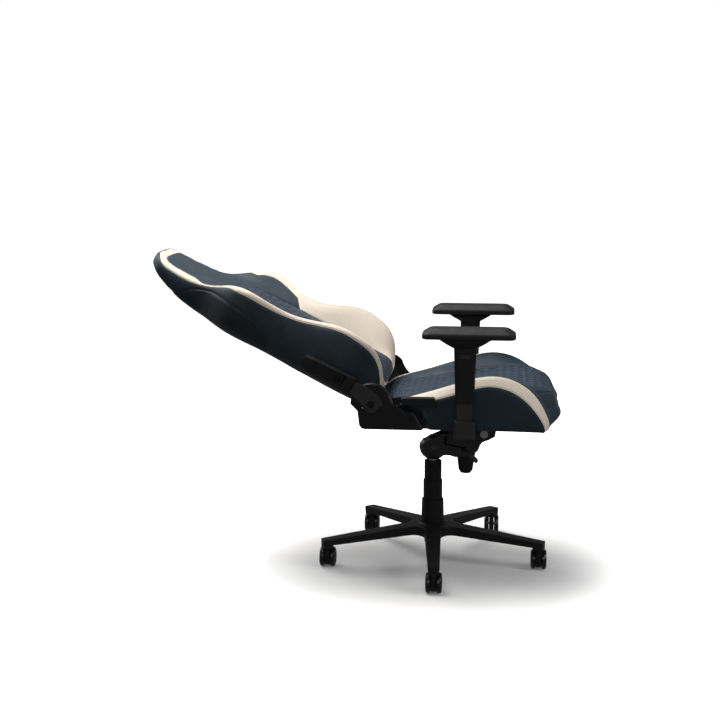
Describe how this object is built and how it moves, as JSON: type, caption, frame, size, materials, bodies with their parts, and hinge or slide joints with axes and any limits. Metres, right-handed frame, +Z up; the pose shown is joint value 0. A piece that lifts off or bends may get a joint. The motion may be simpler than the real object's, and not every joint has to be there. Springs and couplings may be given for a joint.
{
  "type": "gaming chair",
  "caption": "Reclining bucket gaming chair on a star base with casters, gas lift, tilt mechanism, winged seat and backrest, and adjustable armrests.",
  "frame": {"origin": "on the floor, on the gas lift's axis", "axes": "+X the way the sitter faces, +Y the sitter's left, +Z up"},
  "size_m": [1.2222, 0.681, 0.9552],
  "materials": {
    "base_nylon": "satin moulded nylon",
    "caster_nylon": "satin moulded nylon",
    "wheel_nylon": "semi-gloss moulded nylon",
    "black_steel": "black powder coat",
    "bush_nylon": "plain",
    "bright_steel": "ground",
    "bearing_steel": "plain",
    "cover_plastic": "satin",
    "cast_housing": "black coated casting",
    "spring_steel": "dark",
    "knob_plastic": "satin",
    "lever_finish": "satin",
    "bolt_zinc": "dark zinc",
    "belt_webbing": "woven",
    "dust_fabric": "non-woven",
    "seat_upholstery": "smooth synthetic leather over foam",
    "back_upholstery": "smooth synthetic leather over foam",
    "grip_plastic": "satin",
    "trim_plastic": "fine texture",
    "arm_plastic": "fine texture",
    "button_plastic": "satin",
    "pad_soft": "soft polyurethane"
  },
  "bodies": {
    "base": {"star_base": "base_nylon", "gas_stand_tube": "black_steel", "gas_guide_bush": "bush_nylon", "column_cover_lower": "cover_plastic"},
    "swivel": {"gas_piston_rod": "bright_steel", "thrust_bearing": "bearing_steel"},
    "column": {"gas_cylinder": "bright_steel", "column_cover_upper": "cover_plastic", "tilt_housing": "cast_housing", "tilt_pivot_shaft": "bearing_steel", "tension_spring": "spring_steel"},
    "cover_middle": {"column_cover_middle": "cover_plastic"},
    "valve": {"gas_valve_pin": "bearing_steel"},
    "knob": {"tension_knob": "knob_plastic"},
    "lift_lever": {"lift_lever": "lever_finish"},
    "tilt_lever": {"tilt_lock_lever": "lever_finish"},
    "seat": {"seat_plate": "black_steel", "seat_bolts": "bolt_zinc", "seat_frame": "black_steel", "seat_belts": "belt_webbing", "seat_dust_cover": "dust_fabric", "seat_cushion": "seat_upholstery", "recliner_plates": "black_steel", "recliner_pins": "bolt_zinc", "side_cover_right": "trim_plastic", "side_cover_left": "trim_plastic", "armrest_bracket_right": "black_steel", "armrest_bracket_left": "black_steel"},
    "recline_lever": {"recline_lever": "grip_plastic"},
    "back": {"back_frame": "black_steel", "back_belts": "belt_webbing", "back_cushion": "back_upholstery", "back_arm_bolts": "bolt_zinc", "back_arm_right": "black_steel", "back_arm_left": "black_steel", "back_arm_cover_right": "trim_plastic", "back_arm_cover_left": "trim_plastic"},
    "armrest_right": {"armrest_sleeve_right": "arm_plastic"},
    "armrest_right_button": {"armrest_button_right": "button_plastic"},
    "armrest_right_slide": {"armrest_slide_plate_right": "arm_plastic"},
    "armrest_right_turntable": {"armrest_turntable_right": "arm_plastic"},
    "armrest_right_pad": {"armrest_pad_right": "pad_soft"},
    "armrest_left": {"armrest_sleeve_left": "arm_plastic"},
    "armrest_left_button": {"armrest_button_left": "button_plastic"},
    "armrest_left_slide": {"armrest_slide_plate_left": "arm_plastic"},
    "armrest_left_turntable": {"armrest_turntable_left": "arm_plastic"},
    "armrest_left_pad": {"armrest_pad_left": "pad_soft"},
    "caster_1": {"caster_1_housing": "caster_nylon"},
    "caster_1_wheel_pair": {"caster_1_wheels": "wheel_nylon"},
    "caster_2": {"caster_2_housing": "caster_nylon"},
    "caster_2_wheel_pair": {"caster_2_wheels": "wheel_nylon"},
    "caster_3": {"caster_3_housing": "caster_nylon"},
    "caster_3_wheel_pair": {"caster_3_wheels": "wheel_nylon"},
    "caster_4": {"caster_4_housing": "caster_nylon"},
    "caster_4_wheel_pair": {"caster_4_wheels": "wheel_nylon"},
    "caster_5": {"caster_5_housing": "caster_nylon"},
    "caster_5_wheel_pair": {"caster_5_wheels": "wheel_nylon"}
  },
  "joints": [
    {"name": "seat_swivel", "type": "hinge", "parent": "base", "child": "swivel", "pos_m": [0, 0, 0.1], "axis": [0, 0, 1], "continuous": true},
    {"name": "seat_lift", "type": "slide", "parent": "swivel", "child": "column", "axis": [0, 0, 1], "range_m": [-0.07, 0.02]},
    {"name": "cover_slide", "type": "slide", "parent": "base", "child": "cover_middle", "axis": [0, 0, 1], "range_m": [-0.035, 0.01]},
    {"name": "valve_press", "type": "slide", "parent": "column", "child": "valve", "axis": [0, 0, -1], "range_m": [0, 0.0052]},
    {"name": "knob_turn", "type": "hinge", "parent": "column", "child": "knob", "pos_m": [0.1, 0, 0.31], "axis": [0, 0, 1], "range_deg": [-360, 360]},
    {"name": "lift_lever_pull", "type": "hinge", "parent": "column", "child": "lift_lever", "pos_m": [0.04, -0.1, 0.392], "axis": [0, -1, 0], "range_deg": [0, 7], "stiffness_Nm_per_rad": 2},
    {"name": "tilt_lever_turn", "type": "hinge", "parent": "column", "child": "tilt_lever", "pos_m": [0.04, 0.1, 0.392], "axis": [0, -1, 0], "range_deg": [0, 8]},
    {"name": "seat_tilt", "type": "hinge", "parent": "column", "child": "seat", "pos_m": [0.156, 0, 0.418], "axis": [0, -1, 0], "range_deg": [0, 12], "stiffness_Nm_per_rad": 420, "springref_deg": -22.92, "deforming": ["tension_spring"]},
    {"name": "recline_lever_pull", "type": "hinge", "parent": "seat", "child": "recline_lever", "pos_m": [-0.164, -0.262, 0.541], "axis": [0, -1, 0], "range_deg": [0, 25], "stiffness_Nm_per_rad": 0.6},
    {"name": "back_recline", "type": "hinge", "parent": "seat", "child": "back", "pos_m": [-0.164, 0, 0.541], "axis": [0, -1, 0], "range_deg": [-58, 0]},
    {"name": "armrest_right_height", "type": "slide", "parent": "seat", "child": "armrest_right", "axis": [0, 0, 1], "range_m": [-0.044, 0.034]},
    {"name": "armrest_right_button_press", "type": "slide", "parent": "armrest_right", "child": "armrest_right_button", "axis": [0, 1, 0], "range_m": [0, 0.002], "stiffness_N_per_m": 600},
    {"name": "armrest_right_width", "type": "slide", "parent": "armrest_right", "child": "armrest_right_slide", "axis": [0, -1, 0], "range_m": [-0.01, 0.018]},
    {"name": "armrest_right_angle", "type": "hinge", "parent": "armrest_right_slide", "child": "armrest_right_turntable", "pos_m": [0.102, -0.289, 0.73], "axis": [0, 0, -1], "range_deg": [-15, 15]},
    {"name": "armrest_right_depth", "type": "slide", "parent": "armrest_right_turntable", "child": "armrest_right_pad", "axis": [1, 0, 0], "range_m": [0, 0.05]},
    {"name": "armrest_left_height", "type": "slide", "parent": "seat", "child": "armrest_left", "axis": [0, 0, 1], "range_m": [-0.044, 0.034]},
    {"name": "armrest_left_button_press", "type": "slide", "parent": "armrest_left", "child": "armrest_left_button", "axis": [0, -1, 0], "range_m": [0, 0.002], "stiffness_N_per_m": 600},
    {"name": "armrest_left_width", "type": "slide", "parent": "armrest_left", "child": "armrest_left_slide", "axis": [0, 1, 0], "range_m": [-0.01, 0.018]},
    {"name": "armrest_left_angle", "type": "hinge", "parent": "armrest_left_slide", "child": "armrest_left_turntable", "pos_m": [0.102, 0.289, 0.73], "axis": [0, 0, 1], "range_deg": [-15, 15]},
    {"name": "armrest_left_depth", "type": "slide", "parent": "armrest_left_turntable", "child": "armrest_left_pad", "axis": [1, 0, 0], "range_m": [0, 0.05]},
    {"name": "caster_1_swivel", "type": "hinge", "parent": "base", "child": "caster_1", "pos_m": [0.0211, -0.33534, 0.07], "axis": [0, 0, 1], "continuous": true},
    {"name": "caster_1_roll", "type": "hinge", "parent": "caster_1", "child": "caster_1_wheel_pair", "pos_m": [0.0211, -0.31934, 0.03], "axis": [1, 0, 0], "continuous": true},
    {"name": "caster_2_swivel", "type": "hinge", "parent": "base", "child": "caster_2", "pos_m": [0.32544, -0.08356, 0.07], "axis": [0, 0, 1], "continuous": true},
    {"name": "caster_2_roll", "type": "hinge", "parent": "caster_2", "child": "caster_2_wheel_pair", "pos_m": [0.32544, -0.06756, 0.03], "axis": [1, 0, 0], "continuous": true},
    {"name": "caster_3_swivel", "type": "hinge", "parent": "base", "child": "caster_3", "pos_m": [0.18004, 0.28369, 0.07], "axis": [0, 0, 1], "continuous": true},
    {"name": "caster_3_roll", "type": "hinge", "parent": "caster_3", "child": "caster_3_wheel_pair", "pos_m": [0.18004, 0.29969, 0.03], "axis": [1, 0, 0], "continuous": true},
    {"name": "caster_4_swivel", "type": "hinge", "parent": "base", "child": "caster_4", "pos_m": [-0.21417, 0.25889, 0.07], "axis": [0, 0, 1], "continuous": true},
    {"name": "caster_4_roll", "type": "hinge", "parent": "caster_4", "child": "caster_4_wheel_pair", "pos_m": [-0.21417, 0.27489, 0.03], "axis": [1, 0, 0], "continuous": true},
    {"name": "caster_5_swivel", "type": "hinge", "parent": "base", "child": "caster_5", "pos_m": [-0.3124, -0.12369, 0.07], "axis": [0, 0, 1], "continuous": true},
    {"name": "caster_5_roll", "type": "hinge", "parent": "caster_5", "child": "caster_5_wheel_pair", "pos_m": [-0.3124, -0.10769, 0.03], "axis": [1, 0, 0], "continuous": true}
  ],
  "couplings": [
    {"joint": "cover_slide", "follows": "seat_lift", "ratio": 0.5},
    {"joint": "valve_press", "follows": "lift_lever_pull", "m_per_rad": 0.0409}
  ]
}
